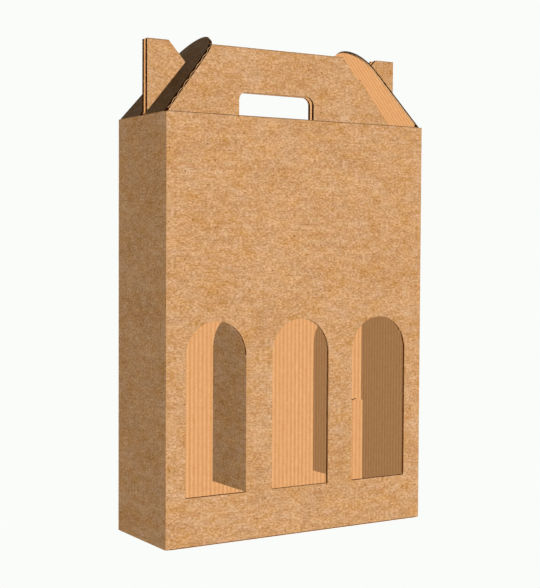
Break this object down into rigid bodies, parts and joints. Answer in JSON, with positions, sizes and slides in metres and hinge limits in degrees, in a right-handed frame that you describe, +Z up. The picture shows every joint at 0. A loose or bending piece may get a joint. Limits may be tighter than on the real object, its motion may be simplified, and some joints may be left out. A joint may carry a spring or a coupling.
{
  "type": "bottle carry box",
  "caption": "Folded corrugated carry box for bottles, with a slotted double handle, arched windows and divider flaps folded in from them.",
  "frame": {"origin": "middle of the footprint, on the floor", "axes": "+Z up; -Y is the front with the three windows; +X is the right as one looks at the front"},
  "size_m": [0.26, 0.09, 0.4251],
  "materials": {
    "kraft_board": "matt brown kraft liner"
  },
  "bodies": {
    "box": {"carton": "kraft_board"},
    "left_divider": {"left_divider_flap": "kraft_board"},
    "right_divider": {"right_divider_flap": "kraft_board"}
  },
  "joints": [
    {"name": "left_divider_fold", "type": "hinge", "parent": "box", "child": "left_divider", "pos_m": [-0.05445, -0.045, 0.1], "axis": [0, 0, 1], "range_deg": [0, 90]},
    {"name": "right_divider_fold", "type": "hinge", "parent": "box", "child": "right_divider", "pos_m": [0.05445, -0.045, 0.1], "axis": [0, 0, -1], "range_deg": [0, 90]}
  ]
}
